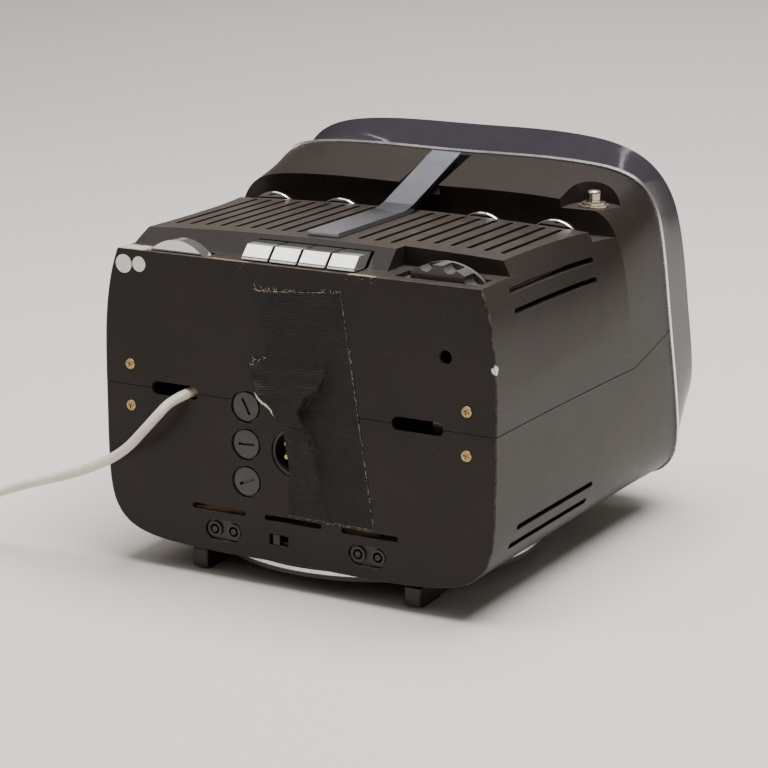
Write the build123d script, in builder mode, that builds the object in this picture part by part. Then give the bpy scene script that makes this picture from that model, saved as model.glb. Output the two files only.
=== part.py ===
from build123d import *
import os
from math import cos, pi, radians, sin, tan

os.makedirs("parts", exist_ok=True)

# ---------------------------------------------------------------- frame
# The origin is on the ground under the middle of the set. The screen faces -Y, the rear face is
# flat and upright at +Y, and +X is on the right of somebody who watches the screen.
# Two measures are used for every place: depth, forward from the rear face, and height, over the
# seam where the upper and the lower shell meet.
rear_y = 125.5
seam_z = 99.0

# ---------------------------------------------------------------- driving dimensions, mm
wall = 3.0                # shell thickness
running = 0.4             # gap round a piece that moves
fit = 0.15                # gap round a piece that only sits

rear_half = 115.0         # half width of the rear face at the seam
waist_half = 117.0        # half width just behind the hood
kink_half = 119.0         # half width where the head starts
head_half = 121.0         # half width at the trim strip
waist_depth = 112.0
kink_depth = 160.0        # where the seam turns upwards
tilt = 15.5               # degrees that the head looks up
head_length = 44.0        # along the head's axis, kink to trim strip
foot_height = -84.0       # underside of the shells over the seam
head_top = 98.0           # half height of the head at the strip

deck_mid = 82.8           # grille deck on the centre line
deck_edge = 80.0          # grille deck at its side edges
deck_half = 104.0
deck_end = 122.0          # depth where the deck stops at the groove
ledge_height = 72.5
riser_foot = 16.0         # sloping riser behind the keys
riser_top = 26.0
well_x = -46.0            # the tuning wheel's well starts here
well_depth = 34.0
groove_floor = 75.0
groove_foot = 139.0
crease_depth = 133.5
roof = 135.0              # higher than anything on the shells

slot_width = 2.8
slot_pitch = 9.4
slot_first = 18.0
slot_count = 9
slot_start = 37.0
slot_end = 118.0
slot_step = 11.0          # slots behind the well start this much deeper

screw_x = 99.0
screw_height = 11.2
port_x = 71.5             # oval openings on the seam
port_width = 29.0
port_height = 7.6
jack_x = -87.0            # plain round hole
jack_height = 37.0
jack_bore = 7.0
bolt_radius = 4.0         # the bolt that the set turns on

fuse_x = 28.3
fuse_heights = (-3.0, -23.0, -43.0)
fuse_cap_bore = 15.0
fuse_recess = 17.6
power_height = -24.0
power_bore = 26.0
power_key_width = 5.0
power_key_reach = 19.5
aerial_x = 43.0
aerial_height = foot_height + 12.0
aerial_width = 22.0
aerial_tall = 11.5
switch_x = 9.1
switch_height = foot_height + 12.1
switch_width = 11.4
switch_tall = 6.2

ring_radius = 90.0        # chrome turntable ring
ring_depth = 92.5         # its centre
runner_x = 64.0
runner_width = 9.6
runner_start = 9.0
runner_length = 176.0
cord_bore = 5.2


def face_plane(depth):
    """Upright plane, local x to the right and y up from the seam, extruding forward."""
    return Plane(origin=(0, rear_y - depth, seam_z), x_dir=(1, 0, 0), z_dir=(0, -1, 0))


def side_plane(x=0.0):
    """Upright plane across X, local x is depth and y is height over the seam."""
    return Plane(origin=(x, rear_y, seam_z), x_dir=(0, -1, 0), z_dir=(-1, 0, 0))


def level_plane(height):
    """Level plane, local x along X and y along Y, both measured from the rear face's middle."""
    return Plane(origin=(0, rear_y, seam_z + height), x_dir=(1, 0, 0), z_dir=(0, 0, 1))


def head_plane(advance):
    """Plane across the tilted head, advance millimetres in front of the kink."""
    lean = radians(tilt)
    origin = (0, rear_y - kink_depth - advance * cos(lean), seam_z + advance * sin(lean))
    return Plane(origin=origin, x_dir=(1, 0, 0), z_dir=(0, -cos(lean), sin(lean)))


def write(name, builder):
    builder.part.label = name
    export_step(builder.part, f"parts/{name}.step")


# ---------------------------------------------------------------- outer form
# Every cross-section is two superellipse halves that meet on the seam.
turns = (0, 6, 15, 30, 45, 60, 75, 90, 105, 120, 135, 150, 165, 174, 180)


def lobe(half_width, height, power):
    points = []
    for turn in turns:
        across = cos(radians(turn))
        up = abs(sin(radians(turn)))
        side = half_width * abs(across) ** (2 / power)
        points.append((side if across >= 0 else -side, height * up ** (2 / power)))
    points[0] = (half_width, 0)
    points[-1] = (-half_width, 0)
    return points


def section(plane, half_width, top, top_power, low, low_power):
    with BuildSketch(plane) as face:
        with BuildLine():
            Spline(*lobe(half_width, top, top_power), tangents=((0, 1), (0, -1)))
            Spline(*reversed(lobe(half_width, -low, low_power)), tangents=((0, -1), (0, 1)))
        make_face()
    return face.sketch


box_top = 120.0
waist_top = 115.0
kink_low = -foot_height / cos(radians(tilt))


def form(inset, rear, front):
    """The set's outline as a solid, pulled in by inset, from depth rear to advance front."""
    low = -foot_height - inset
    kink = section(head_plane(0), kink_half - inset, head_top - inset, 7, kink_low - inset, 6)
    strip = section(head_plane(head_length), head_half - inset, head_top - inset, 7, head_top - inset, 7)
    with BuildPart() as solid:
        loft([
            section(face_plane(rear), rear_half - inset, box_top - inset, 3.0, low, 6.5),
            section(face_plane(waist_depth), waist_half - inset, waist_top - inset, 3.3, low, 6.2),
            kink,
        ])
        loft([kink, strip], ruled=True)
        if front > head_length:
            extrude(strip, amount=front - head_length)
    return solid.part


# ---------------------------------------------------------------- roof cut
def crown(x, gap=0.0):
    return deck_mid - (deck_mid - deck_edge) * (x / deck_half) ** 2 - gap


hood_axis_rise = tan(radians(20.2))
channel_half = 12.0
channel_start = 88.0
pivot_depth = 166.0
pivot_floor = 98.0
channel_end = 173.5
pocket_x = -98.0
pocket_depth = 148.0
pocket_radius = 14.0
pocket_floor = 88.5
side_reach = 130.0


def prism(points, x_from, x_to):
    with BuildPart() as solid:
        with BuildSketch(side_plane(x_to)):
            Polygon(*points, align=None)
        extrude(amount=x_to - x_from)
    return solid.part


def roof_cut(gap):
    """All that is open above the set: deck, ledge, well, groove, handle channel, aerial pocket."""
    riser = (riser_top - riser_foot) / (deck_mid - ledge_height)
    riser_shift = gap * (1 + riser ** 2) ** 0.5
    low = ledge_height - gap
    with BuildPart() as cut:
        with BuildSketch(face_plane(-8)):
            with BuildLine():
                ThreePointArc(
                    (-side_reach, crown(side_reach, gap)), (0, crown(0, gap)), (side_reach, crown(side_reach, gap))
                )
                Polyline(
                    (side_reach, crown(side_reach, gap)), (side_reach, roof), (-side_reach, roof),
                    (-side_reach, crown(side_reach, gap))
                )
            make_face()
        extrude(amount=deck_end + 8)
        add(prism([
            (-8, low), (riser_foot + riser_shift - riser * gap, low), (riser_top + riser_shift, deck_mid),
            (riser_top + riser_shift, roof), (-8, roof)
        ], -side_reach, side_reach))
        add(prism([
            (-8, low), (well_depth + gap, low), (well_depth + gap, roof), (-8, roof)
        ], -side_reach, well_x + gap))
        with BuildSketch(side_plane(side_reach)):
            with BuildLine():
                Polyline(
                    (crease_depth + gap, head_top - 2), (crease_depth + gap, roof), (deck_end - gap, roof),
                    (deck_end - gap, groove_floor - gap), (groove_foot + gap, groove_floor - gap)
                )
                ThreePointArc(
                    (groove_foot + gap, groove_floor - gap), (groove_foot + gap - 1.2, 86),
                    (crease_depth + gap, head_top - 2)
                )
            make_face()
        extrude(amount=2 * side_reach)
        add(prism([
            (deck_end, channel_start - 4 - gap), (crease_depth, channel_start - gap),
            (pivot_depth - 6 - gap, channel_start + (pivot_depth - 6 - crease_depth) * hood_axis_rise - gap),
            (pivot_depth - 6 - gap, pivot_floor - gap),
            (channel_end + gap, pivot_floor - gap), (channel_end + gap, roof), (deck_end, roof)
        ], -channel_half - gap, channel_half + gap))
        with BuildSketch(level_plane(pocket_floor - gap)):
            with Locations((pocket_x, -pocket_depth)):
                Circle(pocket_radius + gap)
            with BuildLine():
                Polyline(
                    (pocket_x + pocket_radius + gap, -deck_end), (pocket_x + pocket_radius + gap, -pocket_depth),
                    (-side_reach, -pocket_depth - pocket_radius * 0.7 - gap), (-side_reach, -deck_end), close=True
                )
            make_face()
        extrude(amount=roof - pocket_floor + gap)
    return cut.part


# ---------------------------------------------------------------- shells
seam_groove = 0.5
bracket_hole = 3.4
skin_outer = form(0, 0, head_length)
with BuildPart() as skin:
    add(skin_outer)
    rim = skin.faces().sort_by(Axis.Y)[-1].edges()
    fillet(rim, 1.2)
    add(roof_cut(0), mode=Mode.SUBTRACT)

with BuildPart() as cavity:
    add(form(wall, wall, head_length + 8))
    add(roof_cut(wall), mode=Mode.SUBTRACT)


def slot_places():
    places = []
    for index in range(slot_count):
        x = slot_first + index * slot_pitch
        places.append((x, slot_start))
        over_well = -x < well_x + 4
        places.append((-x, slot_start + slot_step if over_well else slot_start))
    return places


key_pitch = 16.7
key_middle = -0.8
key_width = 15.7
key_top = 80.0
key_bottom = 73.2
key_count = 4
left_wheel_x = 71.5
left_wheel_height = 57.0
left_wheel_radius = 22.0
left_wheel_depth = 4.0
left_wheel_thick = 8.0
tuning_x = -77.4
tuning_height = 51.0
tuning_radius = 29.0
tuning_depth = 9.5
tuning_thick = 12.5
thumb_xs = (86.0, 43.5, -43.5, -86.0)
thumb_height = 67.8
thumb_radius = 16.5
thumb_depth = 124.5
thumb_thick = 3.0
aerial_body_radius = 5.2


def half_chord(radius, drop):
    return (radius ** 2 - drop ** 2) ** 0.5


with BuildPart() as openings:
    for x, start in slot_places():
        with BuildSketch(level_plane(deck_edge - 8)):
            with Locations((x, -(start + slot_end) / 2)):
                SlotOverall(slot_end - start, slot_width, rotation=90)
        extrude(amount=20)
    for height, start, end in (
        (66.5, 28, 118), (56.5, 28, 118), (foot_height + 31.0, 26, 114), (foot_height + 22.5, 20, 110)
    ):
        with BuildSketch(side_plane(side_reach)):
            with Locations(((start + end) / 2, height)):
                SlotOverall(end - start, 3.0)
        extrude(amount=40)
        with BuildSketch(side_plane(40 - side_reach)):
            with Locations(((start + end) / 2, height)):
                SlotOverall(end - start, 3.0)
        extrude(amount=40)
    with BuildSketch(face_plane(-2)):
        for x_from, x_to in ((29, 62), (-16.5, 17.5), (-61, -28)):
            with Locations(((x_from + x_to) / 2, foot_height + 23.5)):
                SlotOverall(x_to - x_from, 3.2)
        with Locations((port_x, 0), (-port_x, 0)):
            SlotOverall(port_width, port_height)
        with Locations((jack_x, jack_height)):
            Circle(jack_bore / 2)
        with Locations(*[(fuse_x, height) for height in fuse_heights]):
            Circle(fuse_recess / 2)
        with Locations((0, power_height)):
            Circle(power_bore / 2)
            Rectangle(power_key_width, power_key_reach, align=(Align.CENTER, Align.MAX))
        with Locations((aerial_x, aerial_height), (-aerial_x, aerial_height)):
            SlotOverall(aerial_width, aerial_tall)
        with Locations((switch_x, switch_height)):
            Rectangle(switch_width, switch_tall)
        with GridLocations(2 * screw_x, 2 * screw_height, 2, 2):
            Circle(bracket_hole / 2)
    extrude(amount=2 + wall + 2)
    with BuildSketch(face_plane(riser_foot - 8)):
        with Locations((key_middle, (key_top + key_bottom) / 2)):
            Rectangle(key_pitch * key_count + 2 * running, key_top - key_bottom + 2 * running)
    extrude(amount=50)
    floor_drop = ledge_height - wall
    with BuildSketch(level_plane(floor_drop - 1)):
        left_half = half_chord(left_wheel_radius, floor_drop - left_wheel_height) + 1
        with Locations((left_wheel_x, -left_wheel_depth - left_wheel_thick / 2)):
            Rectangle(2 * left_half, left_wheel_thick + 2)
        tuning_half = half_chord(tuning_radius, floor_drop - tuning_height) + 1
        with Locations((tuning_x, -tuning_depth - tuning_thick / 2)):
            Rectangle(2 * tuning_half, tuning_thick + 2)
    extrude(amount=wall + 2)
    with BuildSketch(level_plane(pocket_floor - wall - 1)):
        with Locations((pocket_x, -pocket_depth)):
            Circle(aerial_body_radius + fit)
    extrude(amount=wall + 2)
    with BuildSketch(level_plane(groove_floor - wall - 1)):
        thumb_half = half_chord(thumb_radius, groove_floor - wall - thumb_height) + 1
        with Locations(*[(x, -thumb_depth - thumb_thick / 2) for x in thumb_xs]):
            Rectangle(2 * thumb_half, thumb_thick + 1.2)
    extrude(amount=wall + 2)

with BuildPart() as body_skin:
    add(skin.part)
    add(cavity.part, mode=Mode.SUBTRACT)
    add(openings.part, mode=Mode.SUBTRACT)

lean = radians(tilt)
reach = 120.0
with BuildPart() as below_seam:
    with BuildSketch(side_plane(side_reach)):
        Polygon(
            (-10, 0), (kink_depth, 0), (kink_depth + reach * cos(lean), reach * sin(lean)),
            (kink_depth + reach * cos(lean), -150), (-10, -150), align=None
        )
    extrude(amount=2 * side_reach)

with BuildPart() as seam_line:
    with BuildSketch(side_plane(side_reach)):
        Polygon(
            (-10, -seam_groove / 2), (kink_depth, -seam_groove / 2),
            (kink_depth + reach * cos(lean), reach * sin(lean) - seam_groove / 2),
            (kink_depth + reach * cos(lean), reach * sin(lean) + seam_groove / 2),
            (kink_depth, seam_groove / 2), (-10, seam_groove / 2), align=None
        )
    extrude(amount=2 * side_reach)
    add(form(seam_groove, seam_groove, head_length), mode=Mode.SUBTRACT)

with BuildPart() as upper_shell:
    add(body_skin.part)
    add(below_seam.part, mode=Mode.SUBTRACT)
    add(seam_line.part, mode=Mode.SUBTRACT)
write("upper_shell", upper_shell)

with BuildPart() as lower_shell:
    add(body_skin.part)
    add(below_seam.part, mode=Mode.INTERSECT)
    add(seam_line.part, mode=Mode.SUBTRACT)
    with BuildSketch(level_plane(foot_height - 2)):
        with Locations((0, -ring_depth)):
            Circle(bolt_radius)
    extrude(amount=2 + 2 * wall, mode=Mode.SUBTRACT)
write("lower_shell", lower_shell)

# ---------------------------------------------------------------- front
strip_thick = 2.6
strip_proud = 0.8
strip_lip = 2.0
visor_length = 28.0
visor_wall = 3.0
visor_half = 121.4
visor_top = 103.0
visor_low = 82.0
visor_power = 4.7
visor_bulge = 5.0
strip_plane = head_plane(head_length)
strip_front = head_length + strip_thick
visor_front = head_length + visor_length


def head_outline(advance, inset):
    return section(head_plane(advance), head_half - inset, head_top - inset, 7, head_top - inset, 7)


def visor_outline(advance, inset):
    return section(
        head_plane(advance), visor_half - inset, visor_top - inset, visor_power, visor_low - inset, visor_power
    )


with BuildPart() as front_trim_strip:
    extrude(head_outline(head_length, -strip_proud), amount=strip_thick)
    extrude(head_outline(head_length, wall + strip_lip), amount=strip_thick, mode=Mode.SUBTRACT)
write("front_trim_strip", front_trim_strip)

with BuildPart() as front_visor:
    loft([head_outline(strip_front, 0), visor_outline(visor_front, 0)])
    loft([visor_outline(visor_front, 0), visor_outline(visor_front + visor_bulge, 16)])
    loft([
        head_outline(strip_front, visor_wall), visor_outline(visor_front, visor_wall)
    ], mode=Mode.SUBTRACT)
    loft([
        visor_outline(visor_front, visor_wall), visor_outline(visor_front + visor_bulge - visor_wall, 18)
    ], mode=Mode.SUBTRACT)
write("front_visor", front_visor)

# picture tube, its mask and what hangs on its neck, all along the head's axis
tube_half = 106.0
tube_tall = 80.0
tube_power = 6.0
tube_front = head_length + 12.0
panel_thick = 26.0
funnel_length = 88.0
neck_radius = 10.0
neck_end = -132.0
glass = 3.5
throat_radius = 17.0
neck_wall = 1.5


def tube_outline(advance, inset):
    half, tall = tube_half - inset, tube_tall - inset
    return section(head_plane(advance), half, tall, tube_power, tall, tube_power)


def disc(advance, radius):
    return section(head_plane(advance), radius, radius, 2, radius, 2)


panel_back = tube_front - panel_thick
throat = panel_back - funnel_length
with BuildPart() as picture_tube:
    extrude(tube_outline(panel_back, 0), amount=panel_thick)
    loft([disc(throat, throat_radius), tube_outline(panel_back, 0)], ruled=True)
    extrude(disc(neck_end, neck_radius), amount=throat - neck_end + 6)
    extrude(tube_outline(panel_back, glass), amount=panel_thick - 2 * glass, mode=Mode.SUBTRACT)
    loft([
        disc(throat + glass, throat_radius - glass), tube_outline(panel_back, glass)
    ], ruled=True, mode=Mode.SUBTRACT)
    extrude(disc(neck_end, neck_radius - neck_wall), amount=throat - neck_end + glass + 1, mode=Mode.SUBTRACT)
write("picture_tube", picture_tube)

band_thick = 1.2
band_width = 14.0
band_back = panel_back + 6
with BuildPart() as tube_band:
    extrude(tube_outline(band_back, -band_thick - fit), amount=band_width)
    extrude(tube_outline(band_back, -fit), amount=band_width, mode=Mode.SUBTRACT)
write("tube_band", tube_band)

mask_half = 114.0
mask_top = 90.0
mask_low = 84.0
mask_back = 0.4           # behind the strip
mask_lip = 2.0
window_half = 94.0
window_tall = 70.0
with BuildPart() as screen_mask:
    mask_start = head_length - mask_back
    mask_depth = tube_front - mask_start
    extrude(
        section(head_plane(mask_start), mask_half, mask_top, 5.5, mask_low, 5.5), amount=mask_depth + mask_lip
    )
    extrude(tube_outline(mask_start, -band_thick - 3 * fit), amount=mask_depth + fit, mode=Mode.SUBTRACT)
    extrude(
        section(head_plane(tube_front), window_half, window_tall, 5, window_tall, 5), amount=mask_lip,
        mode=Mode.SUBTRACT
    )
write("screen_mask", screen_mask)

yoke_radius = 36.0
yoke_length = 34.0
yoke_bore = neck_radius + 0.4
yoke_front = throat - 8
with BuildPart() as deflection_yoke:
    extrude(disc(yoke_front - yoke_length, yoke_radius - 8), amount=yoke_length - 12)
    extrude(disc(yoke_front - 12, yoke_radius), amount=12)
    extrude(disc(yoke_front - yoke_length, yoke_bore), amount=yoke_length, mode=Mode.SUBTRACT)
write("deflection_yoke", deflection_yoke)

with BuildPart() as tube_base:
    extrude(disc(neck_end - 9, neck_radius), amount=9)
    extrude(disc(neck_end, neck_radius - neck_wall - fit), amount=6)
write("tube_base", tube_base)

# ---------------------------------------------------------------- handle
handle_half = 9.0
bar_thick = 2.3
bar_lift = 0.3
handle_rear = 31.5
handle_bend = 108.0
handle_front = 167.2
ramp_thick = 3.4
ramp_rise = tan(radians(20.2))
bar_bottom = deck_mid + bar_lift
bar_top = bar_bottom + bar_thick
pin_radius = 1.2
pin_height = 100.9
lug_radius = 2.1
lug_half = 6.0
lug_inner = 3.0
cheek_inner = lug_half + running
cheek_outer = 8.6
cheek_radius = 2.1
bracket_length = 7.0
bracket_thick = 0.5


def ramp_top(depth):
    return bar_top + 0.6 + (depth - handle_bend) * ramp_rise


with BuildPart() as handle:
    with BuildSketch(side_plane(handle_half)):
        with BuildLine():
            Polyline(
                (handle_rear, bar_top), (handle_rear, bar_bottom), (handle_bend + 2, bar_bottom),
                (handle_front - 0.6, ramp_top(handle_front) - ramp_thick),
                (handle_front, ramp_top(handle_front)), (handle_bend + 4, ramp_top(handle_bend + 4)),
                (handle_bend - 5, bar_top), close=True
            )
        make_face()
    extrude(amount=2 * handle_half)
    for x_from in (lug_inner, -lug_half):
        with BuildSketch(side_plane(x_from + lug_half - lug_inner)):
            with Locations((pivot_depth, pin_height)):
                Circle(lug_radius)
            with BuildLine():
                Polyline(
                    (pivot_depth - lug_radius, pin_height), (pivot_depth + lug_radius, pin_height),
                    (pivot_depth + lug_radius, ramp_top(pivot_depth) - ramp_thick + 1.5),
                    (pivot_depth - lug_radius, ramp_top(pivot_depth) - ramp_thick + 0.5), close=True
                )
            make_face()
        extrude(amount=lug_half - lug_inner)
    with BuildSketch(side_plane(handle_half)):
        with Locations((pivot_depth, pin_height)):
            Circle(pin_radius + 0.05)
    extrude(amount=2 * handle_half, mode=Mode.SUBTRACT)
write("handle", handle)

with BuildPart() as handle_bracket:
    with BuildSketch(level_plane(pivot_floor)):
        with Locations((0, -pivot_depth)):
            Rectangle(2 * cheek_outer, bracket_length)
    extrude(amount=bracket_thick)
    for x_from in (cheek_inner, -cheek_outer):
        with BuildSketch(side_plane(x_from + cheek_outer - cheek_inner)):
            with Locations((pivot_depth, pin_height)):
                Circle(cheek_radius)
            with Locations((pivot_depth, (pivot_floor + pin_height) / 2)):
                Rectangle(2 * cheek_radius, pin_height - pivot_floor)
        extrude(amount=cheek_outer - cheek_inner)
    with BuildSketch(side_plane(cheek_outer)):
        with Locations((pivot_depth, pin_height)):
            Circle(pin_radius)
    extrude(amount=2 * cheek_outer, mode=Mode.SUBTRACT)
write("handle_bracket", handle_bracket)

with BuildPart() as handle_pin:
    with BuildSketch(side_plane(cheek_outer)):
        with Locations((pivot_depth, pin_height)):
            Circle(pin_radius)
    extrude(amount=2 * cheek_outer)
write("handle_pin", handle_pin)

# ---------------------------------------------------------------- telescopic aerial
# It stands in a socket under the pocket; each section slides out of the one before it.
aerial_tube_radius = 4.0
aerial_bottom = -22.0
collar_radius = 8.0
collar_height = 2.4
section_wall = 0.35
section_gap = 0.05
section_count = 4
section_step = section_wall + section_gap
knob_radius = 3.6
knob_height = 5.0
aerial_lift = 1.2         # the nested tubes stand this high over the collar


def upright(x, depth, height):
    return Plane(origin=(x, rear_y - depth, seam_z + height), x_dir=(1, 0, 0), z_dir=(0, 0, 1))


aerial_top = pocket_floor + collar_height
with BuildPart() as aerial_socket:
    with BuildSketch(upright(pocket_x, pocket_depth, aerial_bottom)):
        Circle(aerial_body_radius)
    extrude(amount=pocket_floor - aerial_bottom)
    with BuildSketch(upright(pocket_x, pocket_depth, pocket_floor)):
        Circle(collar_radius)
    extrude(amount=1.2)
    with BuildSketch(upright(pocket_x, pocket_depth, pocket_floor + 1.2)):
        Circle(collar_radius - 1.6)
    extrude(amount=collar_height - 1.2)
    with BuildSketch(upright(pocket_x, pocket_depth, aerial_bottom + 2)):
        Circle(aerial_tube_radius + section_gap)
    extrude(amount=aerial_top - aerial_bottom, mode=Mode.SUBTRACT)
write("aerial_socket", aerial_socket)

for index in range(section_count):
    outer = aerial_tube_radius - index * section_step
    last = index == section_count - 1
    with BuildPart() as aerial_section:
        with BuildSketch(upright(pocket_x, pocket_depth, aerial_bottom + 2.5 + index)):
            Circle(outer)
            if not last:
                Circle(outer - section_wall, mode=Mode.SUBTRACT)
        extrude(amount=aerial_top + aerial_lift - aerial_bottom - 2.5 - index)
        if last:
            with BuildSketch(upright(pocket_x, pocket_depth, aerial_top + aerial_lift + 0.2)):
                Circle(outer)
            extrude(amount=-0.2)
            with BuildSketch(upright(pocket_x, pocket_depth, aerial_top + aerial_lift + 0.2)):
                Circle(knob_radius)
            extrude(amount=knob_height)
            fillet(aerial_section.faces().sort_by(Axis.Z)[-1].edges(), 1.4)
    write(f"aerial_section_{index + 1}", aerial_section)


# ---------------------------------------------------------------- controls on the ledge
key_face = 4.0            # foot of the sloping face
key_slope = 6.0
key_back = 40.0
key_travel = 4.0
key_stem = 1.6
bank_start = 45.0
bank_length = 26.0
bank_bottom = 68.0
bank_top = 78.6

key_xs = [key_middle + (index - (key_count - 1) / 2) * key_pitch for index in range(key_count)]
key_axis = (key_top + key_bottom) / 2
for index, x in enumerate(reversed(key_xs)):
    with BuildPart() as key:
        with BuildSketch(side_plane(x + key_width / 2)):
            with BuildLine():
                Polyline(
                    (key_back, key_bottom), (key_face, key_bottom), (key_face, key_bottom + 1.1),
                    (key_face + 0.9, key_bottom + 1.5), (key_face + key_slope, key_top), (key_back, key_top),
                    close=True
                )
            make_face()
        extrude(amount=key_width)
        chamfer(key.faces().filter_by(Axis.X).edges().filter_by(Axis.Y, reverse=True), 0.35)
        with BuildSketch(face_plane(key_back)):
            with Locations((x, key_axis)):
                Rectangle(2 * key_stem, 2 * key_stem)
        extrude(amount=bank_start - key_back + key_travel + 4)
    write(f"key_{index + 1}", key)

with BuildPart() as key_switch_bank:
    with BuildSketch(face_plane(bank_start)):
        with Locations((key_middle, (bank_bottom + bank_top) / 2)):
            Rectangle(key_pitch * key_count, bank_top - bank_bottom)
    extrude(amount=bank_length)
    with BuildSketch(face_plane(bank_start)):
        with Locations(*[(x, key_axis) for x in key_xs]):
            Rectangle(2 * key_stem + 2 * running, 2 * key_stem + 2 * running)
    extrude(amount=key_travel * 2 + 6, mode=Mode.SUBTRACT)
write("key_switch_bank", key_switch_bank)

shaft_radius = 3.0
shaft_gap = 0.06
pot_radius = 12.0
pot_thick = 12.0
pot_start = 18.0


def wheel(x, height, depth, thick, radius, shaft_end, ribs):
    """Edge wheel on a shaft that runs forward, with a ribbed rim."""
    with BuildPart() as disc_part:
        with BuildSketch(face_plane(depth)):
            with Locations((x, height)):
                Circle(radius)
        extrude(amount=thick)
        with BuildSketch(face_plane(depth)):
            with Locations((x, height)):
                Circle(radius * 0.72)
        extrude(amount=thick * 0.35, mode=Mode.SUBTRACT)
        if ribs:
            with BuildSketch(face_plane(depth)):
                with Locations((x, height)):
                    with PolarLocations(radius + 1.0, ribs):
                        Circle(radius * pi / ribs * 0.62)
            extrude(amount=thick - 2.5, mode=Mode.SUBTRACT)
        with BuildSketch(face_plane(depth + thick)):
            with Locations((x, height)):
                Circle(shaft_radius)
        extrude(amount=shaft_end - depth - thick)
    return disc_part


volume_wheel = wheel(
    left_wheel_x, left_wheel_height, left_wheel_depth, left_wheel_thick, left_wheel_radius,
    pot_start + pot_thick - 3, 0
)
write("volume_wheel", volume_wheel)
tuner_start = 27.0
tuning_wheel = wheel(
    tuning_x, tuning_height, tuning_depth, tuning_thick, tuning_radius, tuner_start + 14, 14
)
write("tuning_wheel", tuning_wheel)

with BuildPart() as volume_pot:
    with BuildSketch(face_plane(pot_start)):
        with Locations((left_wheel_x, left_wheel_height)):
            Circle(pot_radius)
            Circle(shaft_radius + shaft_gap, mode=Mode.SUBTRACT)
    extrude(amount=pot_thick)
write("volume_pot", volume_pot)

tuner_left, tuner_right = -104.0, -58.0
tuner_low, tuner_high = 26.0, 66.0
tuner_length = 70.0
with BuildPart() as tuner_box:
    with BuildSketch(face_plane(tuner_start)):
        with Locations(((tuner_left + tuner_right) / 2, (tuner_low + tuner_high) / 2)):
            Rectangle(tuner_right - tuner_left, tuner_high - tuner_low)
    extrude(amount=tuner_length)
    with BuildSketch(face_plane(tuner_start)):
        with Locations((tuning_x, tuning_height)):
            Circle(shaft_radius + shaft_gap)
    extrude(amount=16, mode=Mode.SUBTRACT)
write("tuner_box", tuner_box)

thumb_shaft = 2.0
preset_start = 131.0
preset_thick = 10.0
preset_low, preset_high = 56.0, 71.5
preset_half = 8.0
for index, x in enumerate(thumb_xs):
    with BuildPart() as thumbwheel:
        with BuildSketch(face_plane(thumb_depth)):
            with Locations((x, thumb_height)):
                Circle(thumb_radius)
        extrude(amount=thumb_thick)
        chamfer(thumbwheel.edges().filter_by(GeomType.CIRCLE), 0.4)
        with BuildSketch(face_plane(thumb_depth + thumb_thick)):
            with Locations((x, thumb_height)):
                Circle(thumb_shaft)
        extrude(amount=preset_start + preset_thick - 2 - thumb_depth - thumb_thick)
    write(f"thumbwheel_{index + 1}", thumbwheel)

with BuildPart() as preset_pots:
    for x in thumb_xs:
        with BuildSketch(face_plane(preset_start)):
            with Locations((x, (preset_low + preset_high) / 2)):
                Rectangle(2 * preset_half, preset_high - preset_low)
            with Locations((x, thumb_height)):
                Circle(thumb_shaft + shaft_gap, mode=Mode.SUBTRACT)
        extrude(amount=preset_thick)
write("preset_pots", preset_pots)

# ---------------------------------------------------------------- rear face fittings
cap_sink = 0.6
cap_length = 8.0
driver_slot = (9.4, 1.5)
driver_turns = (62.0, -4.0, -24.0)
holder_length = 42.0
holder_bore = 3.4
fuse_radius = 2.6
fuse_length = 20.0

for index, height in enumerate(fuse_heights):
    with BuildPart() as fuse_cap:
        with BuildSketch(face_plane(cap_sink)):
            with Locations((fuse_x, height)):
                Circle(fuse_cap_bore / 2)
        extrude(amount=cap_length)
        with BuildSketch(face_plane(cap_sink)):
            with Locations(Location((fuse_x, height), driver_turns[index])):
                Rectangle(*driver_slot)
        extrude(amount=1.6, mode=Mode.SUBTRACT)
    write(f"fuse_cap_{index + 1}", fuse_cap)

with BuildPart() as fuse_holders:
    for height in fuse_heights:
        with BuildSketch(face_plane(cap_sink + cap_length + 0.3)):
            with Locations((fuse_x, height)):
                Circle(fuse_recess / 2 - fit)
                Circle(holder_bore, mode=Mode.SUBTRACT)
        extrude(amount=holder_length - cap_length)
        with BuildSketch(face_plane(cap_sink + 1.2)):
            with Locations((fuse_x, height)):
                Circle(fuse_recess / 2 - fit)
                Circle(fuse_cap_bore / 2 + running, mode=Mode.SUBTRACT)
        extrude(amount=cap_length - 0.9)
write("fuse_holders", fuse_holders)

with BuildPart() as fuses:
    for height in fuse_heights:
        with BuildSketch(face_plane(cap_sink + cap_length + 2)):
            with Locations((fuse_x, height)):
                Circle(fuse_radius)
        extrude(amount=fuse_length)
write("fuses", fuses)

socket_radius = power_bore / 2 - fit
pin_ring = 7.0
with BuildPart() as power_socket:
    with BuildSketch(face_plane(1.0)):
        with Locations((0, power_height)):
            Circle(socket_radius)
            Circle(socket_radius - 1.6, mode=Mode.SUBTRACT)
    extrude(amount=9)
    with BuildSketch(face_plane(10)):
        with Locations((0, power_height)):
            Circle(socket_radius)
    extrude(amount=6)
    with BuildSketch(face_plane(5)):
        with Locations((0, power_height)):
            with PolarLocations(pin_ring, 6, 30):
                Circle(2.0)
            Circle(2.0)
    extrude(amount=5)
    with BuildSketch(face_plane(5)):
        with Locations((0, power_height)):
            with PolarLocations(pin_ring, 6, 30):
                Circle(1.2)
            Circle(1.2)
    extrude(amount=9, mode=Mode.SUBTRACT)
write("power_socket", power_socket)

with BuildPart() as power_contacts:
    with BuildSketch(face_plane(3.5)):
        with Locations((0, power_height)):
            with PolarLocations(pin_ring, 6, 30):
                Circle(1.2 - shaft_gap)
            Circle(1.2 - shaft_gap)
    extrude(amount=10)
write("power_contacts", power_contacts)

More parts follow.
